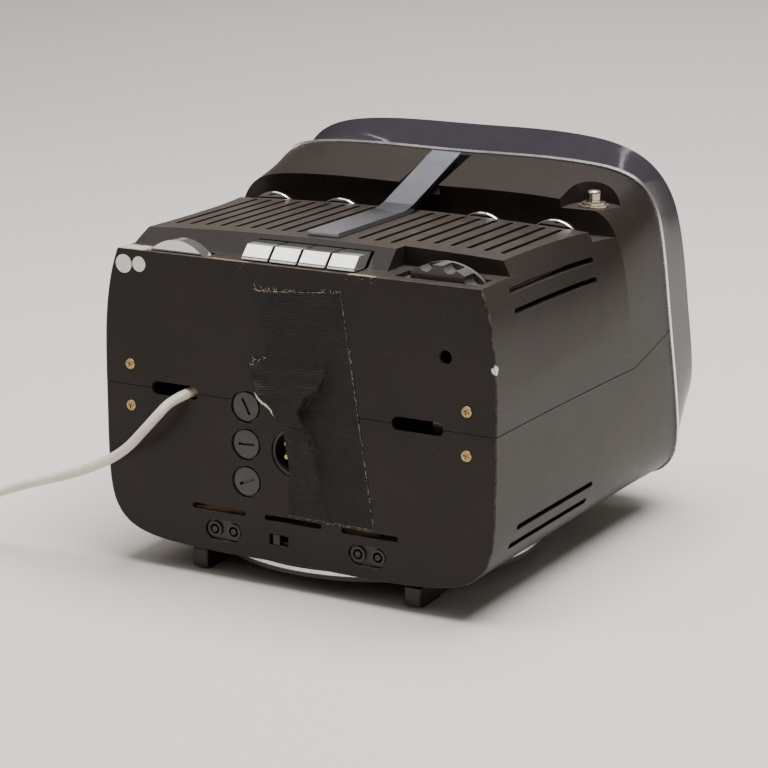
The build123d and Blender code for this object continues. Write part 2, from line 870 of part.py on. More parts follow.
aerial_pin_x = 5.75
with BuildPart() as aerial_sockets:
    for x in (aerial_x, -aerial_x):
        with BuildSketch(face_plane(2.0)):
            with Locations((x, aerial_height)):
                SlotOverall(aerial_width - 2 * fit, aerial_tall - 2 * fit)
        extrude(amount=14)
        with BuildSketch(face_plane(0.8)):
            with Locations((x - aerial_pin_x, aerial_height), (x + aerial_pin_x, aerial_height)):
                Circle(4.2)
        extrude(amount=2)
        with BuildSketch(face_plane(0.8)):
            with Locations((x - aerial_pin_x, aerial_height), (x + aerial_pin_x, aerial_height)):
                Circle(2.8)
                Circle(1.6, mode=Mode.SUBTRACT)
        extrude(amount=8, mode=Mode.SUBTRACT)
write("aerial_sockets", aerial_sockets)

slider_half = 1.9
slider_travel = 3.4
with BuildPart() as mode_switch:
    with BuildSketch(face_plane(wall + fit)):
        with Locations((switch_x, switch_height)):
            Rectangle(switch_width + 6, switch_tall + 4)
    extrude(amount=9)
    with BuildSketch(face_plane(wall)):
        with Locations((switch_x, switch_height)):
            Rectangle(2 * (slider_half + slider_travel + running) - 1, 3.2)
    extrude(amount=5, mode=Mode.SUBTRACT)
write("mode_switch", mode_switch)

with BuildPart() as mode_slider:
    with BuildSketch(face_plane(0.6)):
        with Locations((switch_x + slider_travel / 2, switch_height)):
            Rectangle(2 * slider_half, switch_tall - 2 * running)
    extrude(amount=wall - 0.6)
    with BuildSketch(face_plane(wall)):
        with Locations((switch_x + slider_travel / 2, switch_height)):
            Rectangle(2 * slider_half - 0.8, 3.2 - 2 * running)
    extrude(amount=3)
write("mode_slider", mode_slider)

screw_head = 2.9
screw_thread = 1.45
bracket_gap = 0.3
with BuildPart() as rear_screws:
    with BuildSketch(face_plane(-0.7)):
        with GridLocations(2 * screw_x, 2 * screw_height, 2, 2):
            Circle(screw_head)
    extrude(amount=0.7)
    fillet(rear_screws.faces().sort_by(Axis.Y)[-4:].edges(), 0.45)
    with BuildSketch(face_plane(0)):
        with GridLocations(2 * screw_x, 2 * screw_height, 2, 2):
            Circle(screw_thread)
    extrude(amount=9)
    with BuildSketch(face_plane(-0.7)):
        with GridLocations(2 * screw_x, 2 * screw_height, 2, 2):
            Rectangle(3.2, 0.7, rotation=20)
            Rectangle(0.7, 3.2, rotation=20)
    extrude(amount=0.8, mode=Mode.SUBTRACT)
write("rear_screws", rear_screws)

with BuildPart() as joining_straps:
    with BuildSketch(face_plane(wall + bracket_gap)):
        with GridLocations(2 * screw_x, 1, 2, 1):
            Rectangle(12, 2 * screw_height + 14)
        with GridLocations(2 * screw_x, 2 * screw_height, 2, 2):
            Circle(screw_thread + 0.03, mode=Mode.SUBTRACT)
    extrude(amount=2)
write("joining_straps", joining_straps)

# ---------------------------------------------------------------- works
board_height = foot_height + 11.0
board_thick = 1.6
board_start = 22.0
board_end = 150.0
board_half = 96.0
with BuildPart() as main_board:
    with BuildSketch(level_plane(board_height)):
        with Locations((0, -(board_start + board_end) / 2)):
            Rectangle(2 * board_half, board_end - board_start)
    extrude(amount=board_thick)
write("main_board", main_board)


def patch(x, depth, low, width, length):
    with BuildSketch(level_plane(low)) as face:
        with Locations((x, -depth)):
            Rectangle(width, length)
    return face.sketch


board_top = board_height + board_thick
with BuildPart() as board_components:
    for x, depth in ((-80, 40), (-80, 62), (-20, 120), (20, 120), (80, 40), (60, 130)):
        with BuildSketch(level_plane(board_top)):
            with Locations((x, -depth)):
                Circle(8)
        extrude(amount=22)
    for x, depth in ((-40, 40), (0, 46), (-85, 95), (-50, 135)):
        extrude(patch(x, depth, board_top, 14, 14), amount=16)
write("board_components", board_components)

with BuildPart() as mains_transformer:
    extrude(patch(60, 76, board_top, 44, 32), amount=36)
    extrude(patch(60, 76, board_top + 8, 30, 46), amount=20)
write("mains_transformer", mains_transformer)

with BuildPart() as line_transformer:
    extrude(patch(-52, 84, board_top, 30, 30), amount=8)
    with BuildSketch(level_plane(board_top + 8)):
        with Locations((-52, -84)):
            Circle(17)
    extrude(amount=26)
write("line_transformer", line_transformer)

plate_depth = 14.0
with BuildPart() as chassis_plate:
    with BuildSketch(face_plane(plate_depth)):
        with Locations((-88, -20)):
            Rectangle(30, 70)
    extrude(amount=1.2)
    with BuildSketch(level_plane(-55)):
        with Locations((-88, -plate_depth - 6)):
            Rectangle(30, 12)
    extrude(amount=1.2)
write("chassis_plate", chassis_plate)

speaker_radius = 30.0
speaker_x = 106.0
with BuildPart() as loudspeaker:
    with BuildSketch(side_plane(speaker_x)):
        with Locations((82, 10)):
            Circle(speaker_radius)
    extrude(amount=3)
    with BuildSketch(side_plane(speaker_x - 3)):
        with Locations((82, 10)):
            Circle(speaker_radius - 3)
    extrude(amount=12, taper=30)
    with BuildSketch(side_plane(speaker_x - 15)):
        with Locations((82, 10)):
            Circle(12)
    extrude(amount=10)
write("loudspeaker", loudspeaker)

# ---------------------------------------------------------------- swivel base
ring_top = foot_height - 0.36 - running    # the underside bulges 0.36 below its edges
ring_thick = 3.5
ring_tube = 3.0
plate_thick = 2.0
base_top = ring_top - ring_thick
ground = -seam_z
pad_thick = 1.5
bolt_gap = 0.1
bolt_head = 2.0
nut_thick = 4.0
with BuildPart() as turntable_ring:
    with BuildSketch(level_plane(ring_top - ring_thick)):
        with Locations((0, -ring_depth)):
            Circle(ring_radius)
            Circle(ring_radius - ring_tube, mode=Mode.SUBTRACT)
    extrude(amount=ring_thick)
    chamfer(turntable_ring.edges().filter_by(GeomType.CIRCLE), 0.8)
write("turntable_ring", turntable_ring)

with BuildPart() as base_plate:
    with BuildSketch(level_plane(base_top - plate_thick)):
        with Locations((0, -ring_depth)):
            Circle(ring_radius - 1)
    extrude(amount=plate_thick)
    for x in (runner_x, -runner_x):
        with BuildSketch(level_plane(ground + pad_thick)):
            with Locations((x, -runner_start - runner_length / 2)):
                RectangleRounded(runner_width, runner_length, 1.5)
        extrude(amount=base_top - ground - pad_thick)
    with BuildSketch(level_plane(base_top - plate_thick - 1)):
        with Locations((0, -ring_depth)):
            Circle(bolt_radius + bolt_gap)
    extrude(amount=plate_thick + 2, mode=Mode.SUBTRACT)
write("base_plate", base_plate)

with BuildPart() as runner_pads:
    for x in (runner_x, -runner_x):
        for depth in (runner_start + 14, runner_start + runner_length - 14):
            with BuildSketch(level_plane(ground)):
                with Locations((x, -depth)):
                    RectangleRounded(runner_width - 1, 20, 1.5)
            extrude(amount=pad_thick)
write("runner_pads", runner_pads)

with BuildPart() as pivot_bolt:
    with BuildSketch(level_plane(base_top - plate_thick - bolt_head)):
        with Locations((0, -ring_depth)):
            Circle(bolt_radius)
    extrude(amount=foot_height + wall + nut_thick + 2 - base_top + plate_thick + bolt_head)
    with BuildSketch(level_plane(base_top - plate_thick - bolt_head)):
        with Locations((0, -ring_depth)):
            Circle(bolt_radius + 3)
    extrude(amount=bolt_head - bolt_gap)
    with BuildSketch(level_plane(foot_height + wall + fit)):
        with Locations((0, -ring_depth)):
            RegularPolygon(bolt_radius + 3, 6)
    extrude(amount=nut_thick)
write("pivot_bolt", pivot_bolt)

# ---------------------------------------------------------------- labels and repair tape
label_thick = 0.2
with BuildPart() as round_labels:
    with BuildSketch(face_plane(-label_thick)):
        with Locations((101.5, 64.6)):
            Circle(4.9)
        with Locations((92.0, 65.2)):
            Circle(4.0)
    extrude(amount=label_thick)
write("round_labels", round_labels)

tape_thick = 0.8
with BuildPart() as gaffer_tape:
    with BuildSketch(face_plane(-tape_thick)):
        Polygon(
            (20.7, 58.5), (-28.7, 63.0), (-33.5, 30), (-38.0, 0), (-47.3, -57.5), (2.0, -57.5), (11.0, 0),
            (16.0, 28), align=None
        )
    extrude(amount=tape_thick)
write("gaffer_tape", gaffer_tape)

# ---------------------------------------------------------------- mains lead
# It comes out of the left oval, bends down to the floor and is coiled beside the set.
cord_radius = cord_bore / 2
floor_line = ground + cord_radius
lead_points = [
    (58.0, 20.0, 0.6), (66.5, -5.0, 0.4), (76.0, -17.5, -14.5), (93.0, -19.0, -33.0), (122.0, -19.5, -47.0),
    (158.0, -20.0, -58.5), (190.0, -21.5, -72.0), (216.0, -24.5, -91.5), (236.0, -26.0, floor_line),
    (256.0, -25.6, floor_line),
]
coil_x = 266.0
coil_y = -60.0            # as a depth, behind the rear face
coil_radius = 29.0
coil_half = 8.0
coil_tall = 15.8
plug_x = coil_x + coil_radius
plug_radius = 9.0
tail_points = [
    (plug_x, -60.0, ground + 13.2), (plug_x + 0.5, -77.0, ground + 13.2), (plug_x + 0.3, -90.0, ground + 10.5),
    (plug_x, -102.0, ground + plug_radius),
]
plug_start = 98.0
plug_length = 30.0
prong_radius = 2.0
prong_spread = 9.5
prong_length = 19.0


def space(point):
    return Vector(point[0], rear_y - point[1], seam_z + point[2])


def corner_radii(points):
    radii = []
    for before, corner, after in zip(points, points[1:], points[2:]):
        arriving = space(corner) - space(before)
        leaving = space(after) - space(corner)
        shorter = min(arriving.length, leaving.length)
        radii.append(0.45 * shorter / tan(radians(arriving.get_angle(leaving) / 2)))
    return radii


def tube(points):
    radii = corner_radii(points)
    print("corner radii", [round(radius, 1) for radius in radii])
    with BuildPart() as pipe:
        with BuildLine() as path:
            FilletPolyline(*[space(point) for point in points], radius=radii)
        route = path.wires()[0]
        with BuildSketch(Plane(route @ 0, z_dir=route % 0)):
            Circle(cord_radius)
        sweep(path=route)
    straight = route.length * pi * cord_radius ** 2
    print("length", round(route.length, 1), "volume over section times length", pipe.part.volume / straight)
    return pipe


cord_lead = tube(lead_points)
write("cord_lead", cord_lead)
cord_tail = tube(tail_points)
write("cord_tail", cord_tail)

with BuildPart() as cord_coil:
    with BuildSketch(level_plane(ground)):
        with Locations((coil_x, -coil_y)):
            Circle(coil_radius + coil_half)
            Circle(coil_radius - coil_half, mode=Mode.SUBTRACT)
    extrude(amount=coil_tall)
    fillet(cord_coil.edges().filter_by(GeomType.CIRCLE), 2.4)
write("cord_coil", cord_coil)

with BuildPart() as mains_plug:
    with BuildSketch(face_plane(-plug_start - 4)):
        with Locations((plug_x, ground + plug_radius)):
            Circle(6.0)
    with BuildSketch(face_plane(-plug_start - 14)):
        with Locations((plug_x, ground + plug_radius)):
            Circle(plug_radius)
    loft()
    with BuildSketch(face_plane(-plug_start - plug_length)):
        with Locations((plug_x, ground + plug_radius)):
            Circle(plug_radius)
    extrude(amount=plug_length - 14)
    with BuildSketch(face_plane(-plug_start - 4)):
        with Locations((plug_x, ground + plug_radius)):
            Circle(4.4)
    extrude(amount=4)
    with BuildSketch(face_plane(-plug_start - 4)):
        with Locations((plug_x, ground + plug_radius)):
            Circle(cord_radius)
    extrude(amount=4, mode=Mode.SUBTRACT)
write("mains_plug", mains_plug)

with BuildPart() as plug_prongs:
    for side in (-1, 1):
        with BuildSketch(face_plane(-plug_start - plug_length - prong_length)):
            with Locations((plug_x + side * prong_spread / 2, ground + plug_radius)):
                Circle(prong_radius)
        extrude(amount=prong_length)
write("plug_prongs", plug_prongs)
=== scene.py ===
import bpy
import math
import random
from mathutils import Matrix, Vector, noise


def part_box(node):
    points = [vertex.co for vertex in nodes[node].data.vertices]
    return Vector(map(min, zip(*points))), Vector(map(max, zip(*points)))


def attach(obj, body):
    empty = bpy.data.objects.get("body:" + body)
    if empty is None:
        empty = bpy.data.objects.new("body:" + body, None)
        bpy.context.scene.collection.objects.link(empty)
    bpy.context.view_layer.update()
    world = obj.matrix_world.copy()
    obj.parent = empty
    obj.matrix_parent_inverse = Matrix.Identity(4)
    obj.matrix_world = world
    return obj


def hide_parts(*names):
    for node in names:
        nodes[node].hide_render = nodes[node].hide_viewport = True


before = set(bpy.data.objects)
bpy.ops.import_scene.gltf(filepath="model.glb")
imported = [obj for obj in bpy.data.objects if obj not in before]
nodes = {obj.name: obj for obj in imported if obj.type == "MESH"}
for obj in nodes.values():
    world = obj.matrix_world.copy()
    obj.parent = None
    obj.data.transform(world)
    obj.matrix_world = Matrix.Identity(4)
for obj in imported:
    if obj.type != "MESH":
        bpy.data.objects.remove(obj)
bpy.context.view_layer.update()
random.seed(11)

mm = 0.001
rearY = 0.1255                          # the flat rear face
seamZ = 0.099                           # where the two shells meet


def place(right, depth, height):        # metres: along X, forward from the rear face, over the seam
    return Vector((right, rearY - depth, seamZ + height))


# camera and studio
studio = {
    "camera": (-0.6082, 1.1289, 0.4182), "pitch": 75.35, "turn": 208.96, "lens": 112.5,
    "sheet": "#cdc8c2", "sheetSize": 3.2, "sheetRise": 1.0, "sheetBend": 0.7,
}


def toLinear(hexValue):
    channels = [int(hexValue[start:start + 2], 16) / 255 for start in (1, 3, 5)]
    linear = [c / 12.92 if c <= 0.04045 else ((c + 0.055) / 1.055) ** 2.4 for c in channels]
    return (*linear, 1.0)


def addNode(material, kind, fixed=None, feeds=None):
    tree = material.node_tree
    node = tree.nodes.new("ShaderNode" + kind)
    for name, value in (fixed or {}).items():
        setattr(node, name, value)
    for socket, value in (feeds or {}).items():
        if isinstance(value, bpy.types.NodeSocket):
            tree.links.new(value, node.inputs[socket])
        else:
            node.inputs[socket].default_value = value
    return node


def newMaterial(name):
    material = bpy.data.materials.new(name)
    material.use_nodes = True
    material.node_tree.nodes.clear()
    shader = addNode(material, "BsdfPrincipled")
    addNode(material, "OutputMaterial", feeds={"Surface": shader.outputs[0]})
    return material, shader


def perMm(size):                        # a texture scale from the size of its pattern
    return 1000.0 / size


def newCurve(name, radius, roundness):
    curve = bpy.data.curves.new(name, "CURVE")
    curve.dimensions = "3D"
    curve.bevel_depth = radius
    curve.bevel_resolution = roundness
    return curve


def addSpline(curve, points):           # order and end points are set once the points are there
    spline = curve.splines.new("NURBS")
    spline.points.add(len(points) - 1)
    for knot, point in zip(spline.points, points):
        knot.co = (*point, 1)
    spline.order_u = 3
    spline.use_endpoint_u = True
    return spline


def linkCurve(curve):
    piece = bpy.data.objects.new(curve.name, curve)
    bpy.context.collection.objects.link(piece)
    return piece


def curveToMesh(curve):
    piece = linkCurve(curve)
    deselectAll()
    piece.select_set(True)
    bpy.context.view_layer.objects.active = piece
    bpy.ops.object.convert(target="MESH")
    return bpy.context.object


def deselectAll():
    if bpy.context.object and bpy.context.object.mode != "OBJECT":
        bpy.ops.object.mode_set(mode="OBJECT")
    bpy.ops.object.select_all(action="DESELECT")


def makeStudio():
    bpy.ops.object.camera_add(location=studio["camera"])
    camera = bpy.context.object
    camera.name = "viewCamera"
    camera.rotation_euler = (math.radians(studio["pitch"]), 0, math.radians(studio["turn"]))
    camera.data.lens = studio["lens"]
    camera.data.sensor_width = 36
    bpy.context.scene.camera = camera

    # a paper sweep: a level floor that curves up far behind the set
    deselectAll()
    size = studio["sheetSize"]
    bpy.ops.mesh.primitive_plane_add(size=2 * size, location=(0, 0, 0))
    sweep = bpy.context.object
    sweep.name = "paperSweep"
    bpy.ops.object.mode_set(mode="EDIT")
    bpy.ops.mesh.select_mode(type="EDGE")
    bpy.ops.mesh.select_all(action="DESELECT")
    bpy.ops.object.mode_set(mode="OBJECT")
    for edge in sweep.data.edges:
        edge.select = all(sweep.data.vertices[i].co.y < -size + 0.01 for i in edge.vertices)
    bpy.ops.object.mode_set(mode="EDIT")
    bpy.ops.mesh.spin(
        steps=24, angle=math.radians(88), center=(0, -size, studio["sheetBend"]), axis=(1, 0, 0)
    )
    bpy.ops.mesh.extrude_region_move(TRANSFORM_OT_translate={"value": (0, -0.07, studio["sheetRise"])})
    bpy.ops.mesh.select_all(action="SELECT")
    bpy.ops.mesh.normals_make_consistent(inside=False)
    bpy.ops.object.mode_set(mode="OBJECT")
    if sweep.data.polygons[0].normal.z < 0:
        bpy.ops.object.mode_set(mode="EDIT")
        bpy.ops.mesh.flip_normals()
        bpy.ops.object.mode_set(mode="OBJECT")
    bpy.ops.object.shade_smooth()
    paper, shader = newMaterial("paperSweep")
    shader.inputs["Base Color"].default_value = toLinear(studio["sheet"])
    shader.inputs["Roughness"].default_value = 0.9
    shader.inputs["Specular IOR Level"].default_value = 0.15
    sweep.data.materials.append(paper)

    lamps = (
        ("overhead", (-0.3, -0.03, 1.9), (0, 0, 0), (1.6, 1.5), 95),
        ("keyCard", (1.0, 0.85, 1.9), (0, 0.1, 0.1), (1.2, 1.2), 13),
        ("rightSide", (-2.1, -0.3, 0.9), (0, 0, 0.1), (1.3, 1.2), 2),
        ("leftFill", (1.7, 1.6, 1.3), (0, 0.1, 0.1), (1.2, 1.0), 3),
        ("backWash", (0.6, -2.0, 2.4), (0.9, -4.0, 0.4), (2.8, 1.2), 70),
    )
    for name, spot, aim, extent, power in lamps:
        bpy.ops.object.light_add(type="AREA", location=spot)
        lamp = bpy.context.object
        lamp.name = name
        lamp.data.shape = "RECTANGLE"
        lamp.data.size, lamp.data.size_y = extent
        lamp.data.energy = power
        lamp.rotation_euler = (Vector(aim) - Vector(spot)).to_track_quat("-Z", "Y").to_euler()
    world = bpy.data.worlds.new("softRoom")
    bpy.context.scene.world = world
    world.use_nodes = True
    world.node_tree.nodes["Background"].inputs["Color"].default_value = toLinear("#dbd3ca")
    world.node_tree.nodes["Background"].inputs["Strength"].default_value = 0.26


makeStudio()
print("camera and studio ready")

# materials
def surface(name, look):
    # colour that wanders in patches, a grain in the surface, dust on what faces up, pale specks
    material, shader = newMaterial(name)
    spot = addNode(material, "TexCoord").outputs["Object"]
    patches = addNode(material, "TexNoise", feeds={
        "Vector": spot, "Scale": perMm(look["patch"]), "Detail": 5.0, "Roughness": 0.62
    }).outputs["Fac"]
    spread = addNode(material, "MapRange", feeds={"Value": patches, "From Min": 0.34, "From Max": 0.66})
    colour = addNode(material, "Mix", {"data_type": "RGBA"}, {
        0: spread.outputs[0], 6: toLinear(look["base"]), 7: toLinear(look["second"])
    }).outputs[2]
    smear = addNode(material, "TexNoise", feeds={
        "Vector": spot, "Scale": perMm(look.get("smear", 22)), "Detail": 8.0, "Roughness": 0.7,
        "Distortion": 0.6
    }).outputs["Fac"]
    rough = addNode(material, "MapRange", feeds={
        "Value": smear, "From Min": 0.35, "From Max": 0.68,
        "To Min": look["rough"][0], "To Max": look["rough"][1]
    }).outputs[0]

    normal = addNode(material, "TexCoord").outputs["Normal"]
    height = addNode(material, "SeparateXYZ", feeds={0: normal}).outputs["Z"]
    least, full = look.get("level", (0.25, 0.9))
    facing = addNode(material, "MapRange", feeds={"Value": height, "From Min": least, "From Max": full})
    drift = addNode(material, "TexNoise", feeds={
        "Vector": spot, "Scale": perMm(look.get("drift", 9)), "Detail": 12.0, "Roughness": 0.85
    }).outputs["Fac"]
    drift = addNode(material, "MapRange", feeds={
        "Value": drift, "From Min": 0.3, "From Max": 0.8, "To Max": look["dust"]
    }).outputs[0]
    dust = addNode(material, "Math", {"operation": "MULTIPLY"}, {0: facing.outputs[0], 1: drift}).outputs[0]
    grit = addNode(material, "TexNoise", feeds={
        "Vector": spot, "Scale": perMm(1.3), "Detail": 1.0
    }).outputs["Fac"]
    specks = addNode(material, "MapRange", feeds={
        "Value": grit, "From Min": 0.735, "From Max": 0.77, "To Max": look.get("specks", 0.35)
    }).outputs[0]
    dirt = addNode(material, "Math", {"operation": "MAXIMUM"}, {0: dust, 1: specks}).outputs[0]
    colour = addNode(material, "Mix", {"data_type": "RGBA"}, {
        0: dirt, 6: colour, 7: toLinear(look.get("dustColour", "#a79d8e"))
    }).outputs[2]
    rough = addNode(material, "Mix", feeds={0: dirt, 2: rough, 3: 0.85}).outputs[0]

    if look.get("metal"):
        clean = addNode(material, "Math", {"operation": "SUBTRACT"}, {0: 1.0, 1: dirt}).outputs[0]
        material.node_tree.links.new(clean, shader.inputs["Metallic"])
    grain = addNode(material, "TexNoise", feeds={
        "Vector": spot, "Scale": perMm(look["grain"]), "Detail": 3.0, "Roughness": 0.6
    }).outputs["Fac"]
    if look.get("brushed"):             # lines drawn out along one direction
        drawn = addNode(material, "Mapping", feeds={"Vector": spot, "Scale": look["brushed"]}).outputs[0]
        grain = addNode(material, "TexNoise", feeds={
            "Vector": drawn, "Scale": perMm(look["grain"]), "Detail": 4.0
        }).outputs["Fac"]
    bump = addNode(material, "Bump", feeds={
        "Height": grain, "Strength": look.get("strength", 0.5), "Distance": look["relief"] * mm
    }).outputs[0]
    material.node_tree.links.new(colour, shader.inputs["Base Color"])
    material.node_tree.links.new(rough, shader.inputs["Roughness"])
    material.node_tree.links.new(bump, shader.inputs["Normal"])
    return material, shader


def dress(material, *names):
    for name in names:
        slots = nodes[name].data.materials
        slots.clear()
        slots.append(material)


# ABS, injection moulded in a finely eroded tool: satin, dark brown-grey, dusty on top, rubbed pale
# along the sharp rear rim
shellLook = {
    "base": "#241f1c", "second": "#292421", "patch": 60, "gloss": 0.17,
    "rough": (0.27, 0.34), "dust": 0.34, "specks": 0.16,
    "grain": 0.45, "relief": 0.03, "dustColour": "#70665d", "level": (0.955, 1.0),
    "rim": 2.6, "rimColour": "#6f665e",
    "chip": (-0.1145, 0.0006, 0.0335), "chipSize": 2.6, "chipColour": "#d8d4cc",
}
# pale and tan patches painted onto the ledge at three places
ledgePatches = (                           # middle (right, depth, height), half extent, colour, how much
    ((0.0985, 0.0065, 0.0725), (0.0095, 0.0055, 0.0010), "#b9b2a3", 0.85),
    ((0.0380, 0.0018, 0.0725), (0.0130, 0.0014, 0.0010), "#8b7a60", 0.6),
    ((-0.0395, 0.0020, 0.0725), (0.0080, 0.0016, 0.0010), "#a39a80", 0.7),
)


def paintLedgePatch(material, spot, colour, middle, extent, tint, share):
    # a pale patch painted into a small area, with a ragged outline
    ragged = addNode(material, "TexNoise", feeds={
        "Vector": spot, "Scale": perMm(2.4), "Detail": 5.0
    }).outputs["Color"]
    ragged = addNode(material, "VectorMath", {"operation": "SUBTRACT"}, {
        0: ragged, 1: (0.5, 0.5, 0.5)
    }).outputs[0]
    shift = addNode(material, "VectorMath", {"operation": "SCALE"}, {0: ragged, 3: 3.0 * mm}).outputs[0]
    spot = addNode(material, "VectorMath", {"operation": "ADD"}, {0: spot, 1: shift}).outputs[0]
    apart = addNode(material, "VectorMath", {"operation": "SUBTRACT"}, {
        0: spot, 1: place(*middle)
    }).outputs[0]
    apart = addNode(material, "VectorMath", {"operation": "DIVIDE"}, {0: apart, 1: extent}).outputs[0]
    apart = addNode(material, "VectorMath", {"operation": "ABSOLUTE"}, {0: apart}).outputs[0]
    axes = addNode(material, "SeparateXYZ", feeds={0: apart})
    most = addNode(material, "Math", {"operation": "MAXIMUM"}, {
        0: axes.outputs[0], 1: axes.outputs[1]
    }).outputs[0]
    inside = addNode(material, "MapRange", feeds={
        "Value": most, "From Min": 1.05, "From Max": 0.8, "To Max": share
    }).outputs[0]
    level = addNode(material, "Math", {"operation": "LESS_THAN"}, {0: axes.outputs[2], 1: 3.0}).outputs[0]
    amount = addNode(material, "Math", {"operation": "MULTIPLY"}, {0: inside, 1: level}).outputs[0]
    return addNode(material, "Mix", {"data_type": "RGBA"}, {
        0: amount, 6: colour, 7: toLinear(tint)
    }).outputs[2]


def mouldedAbs():
    material, shader = surface("mouldedAbs", shellLook)
    shader.inputs["Specular IOR Level"].default_value = shellLook["gloss"]
    links = material.node_tree.links
    colour = shader.inputs["Base Color"].links[0].from_socket
    spot = addNode(material, "TexCoord").outputs["Object"]
    along = addNode(material, "SeparateXYZ", feeds={0: spot}).outputs["Y"]
    nearRim = addNode(material, "MapRange", feeds={
        "Value": along, "From Min": rearY - shellLook["rim"] * mm, "From Max": rearY - 0.1 * mm
    }).outputs[0]
    facing = addNode(material, "SeparateXYZ", feeds={0: addNode(material, "TexCoord").outputs["Normal"]})
    turned = addNode(material, "MapRange", feeds={
        "Value": facing.outputs["Y"], "From Min": 0.97, "From Max": 0.75
    }).outputs[0]
    rubbed = addNode(material, "TexNoise", feeds={
        "Vector": spot, "Scale": perMm(5), "Detail": 8.0, "Roughness": 0.8
    })
    rubbed = addNode(material, "MapRange", feeds={
        "Value": rubbed.outputs["Fac"], "From Min": 0.45, "From Max": 0.66, "To Max": 0.7
    }).outputs[0]
    wear = addNode(material, "Math", {"operation": "MULTIPLY"}, {0: nearRim, 1: turned}).outputs[0]
    wear = addNode(material, "Math", {"operation": "MULTIPLY"}, {0: wear, 1: rubbed}).outputs[0]
    colour = addNode(material, "Mix", {"data_type": "RGBA"}, {
        0: wear, 6: colour, 7: toLinear(shellLook["rimColour"])
    }).outputs[2]
    # hairline scratches, drawn as long thin streaks
    drawn = addNode(material, "Mapping", feeds={
        "Vector": spot, "Scale": (0.05, 0.05, 1), "Rotation": (0, 0.35, 0)
    })
    hair = addNode(material, "TexNoise", feeds={
        "Vector": drawn.outputs[0], "Scale": perMm(0.9), "Detail": 2.0
    }).outputs["Fac"]
    hair = addNode(material, "MapRange", feeds={
        "Value": hair, "From Min": 0.72, "From Max": 0.76, "To Max": 0.28
    })
    colour = addNode(material, "Mix", {"data_type": "RGBA"}, {
        0: hair.outputs[0], 6: colour, 7: toLinear("#6a635c")
    }).outputs[2]
    # a chip knocked out of the right rear edge
    centre = place(*shellLook["chip"])
    apart = addNode(material, "VectorMath", {"operation": "DISTANCE"}, {
        0: spot, 1: centre
    }).outputs["Value"]
    jag = addNode(material, "TexNoise", feeds={
        "Vector": spot, "Scale": perMm(1.6), "Detail": 4.0
    }).outputs["Fac"]
    jag = addNode(material, "Math", {"operation": "MULTIPLY_ADD"}, {
        0: jag, 1: -3.2 * mm, 2: 1.6 * mm
    }).outputs[0]
    apart = addNode(material, "Math", {"operation": "ADD"}, {0: apart, 1: jag}).outputs[0]
    chip = addNode(material, "MapRange", feeds={
        "Value": apart, "From Min": shellLook["chipSize"] * mm, "From Max": (shellLook["chipSize"] - 0.4) * mm
    }).outputs[0]
    colour = addNode(material, "Mix", {"data_type": "RGBA"}, {
        0: chip, 6: colour, 7: toLinear(shellLook["chipColour"])
    }).outputs[2]
    # the pale patches painted on the ledge
    for middle, extent, tint, share in ledgePatches:
        colour = paintLedgePatch(material, spot, colour, middle, extent, tint, share)
    links.new(colour, shader.inputs["Base Color"])
    return material


# mirror chrome on moulded ABS and on turned brass: bright, with a haze of handling
def brightChrome():
    return surface("brightChrome", {
        "base": "#ebeae8", "second": "#dddcda", "patch": 9,
        "rough": (0.05, 0.14), "dust": 0.08, "specks": 0.3,
        "grain": 0.9, "relief": 0.012, "metal": True
    })[0]


# chrome-plated zinc strip round the head, brushed before plating, so it glows rather than mirrors
def stripChrome():
    return surface("stripChrome", {
        "base": "#eeeeef", "second": "#dcdcdf", "patch": 12,
        "rough": (0.22, 0.32), "dust": 0.05, "specks": 0.2,
        "grain": 0.5, "relief": 0.01, "metal": True
    })[0]


# satin chrome strip of the handle, brushed along its length, cooler than the keys
def satinChrome():
    return surface("satinChrome", {
        "base": "#b4b8c4", "second": "#a9adb9", "patch": 40,
        "rough": (0.19, 0.23), "dust": 0.04, "specks": 0.15,
        "grain": 0.35, "relief": 0.003, "brushed": (1, 0.04, 0.04), "metal": True
    })[0]


# cast acrylic smoked violet-grey: glossy, a little light comes through it
visorLook = {
    "base": "#3a343e", "second": "#3e3842", "patch": 70,
    "rough": (0.03, 0.1), "dust": 0.04, "specks": 0.2,
    "grain": 30, "relief": 0.02, "through": 0.5
}


def smokedAcrylic():
    material, shader = surface("smokedAcrylic", visorLook)
    shader.inputs["Transmission Weight"].default_value = visorLook["through"]
    shader.inputs["IOR"].default_value = 1.49
    return material


# black and dark brown mouldings: phenolic and ABS, finely textured
def blackMoulding():
    return surface("blackMoulding", {
        "base": "#191817", "second": "#21201f", "patch": 20,
        "rough": (0.32, 0.5), "dust": 0.3, "specks": 0.35,
        "grain": 0.5, "relief": 0.04
    })[0]


# the tuning wheel: fluted black ABS with a chromed band round its front edge
def flutedWheel():
    material, shader = surface("flutedWheel", {
        "base": "#2e2b2b", "second": "#3a3736", "patch": 5,
        "rough": (0.12, 0.24), "dust": 0.3, "specks": 0.4,
        "grain": 0.5, "relief": 0.03
    })
    spot = addNode(material, "TexCoord").outputs["Object"]
    along = addNode(material, "SeparateXYZ", feeds={0: spot}).outputs["Y"]
    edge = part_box("tuning_wheel")[1].y - 10.4 * mm      # the flutes end here
    band = addNode(material, "Math", {"operation": "LESS_THAN"}, {0: along, 1: edge}).outputs[0]
    colour = addNode(material, "Mix", {"data_type": "RGBA"}, {
        0: band, 6: shader.inputs["Base Color"].links[0].from_socket, 7: toLinear("#dedcda")
    }).outputs[2]
    material.node_tree.links.new(colour, shader.inputs["Base Color"])
    material.node_tree.links.new(band, shader.inputs["Metallic"])
    return material


def capMoulding():
    return surface("capMoulding", {
        "base": "#2b2828", "second": "#353130", "patch": 6,
        "rough": (0.22, 0.38), "dust": 0.35, "specks": 0.4,
        "grain": 0.6, "relief": 0.05
    })[0]


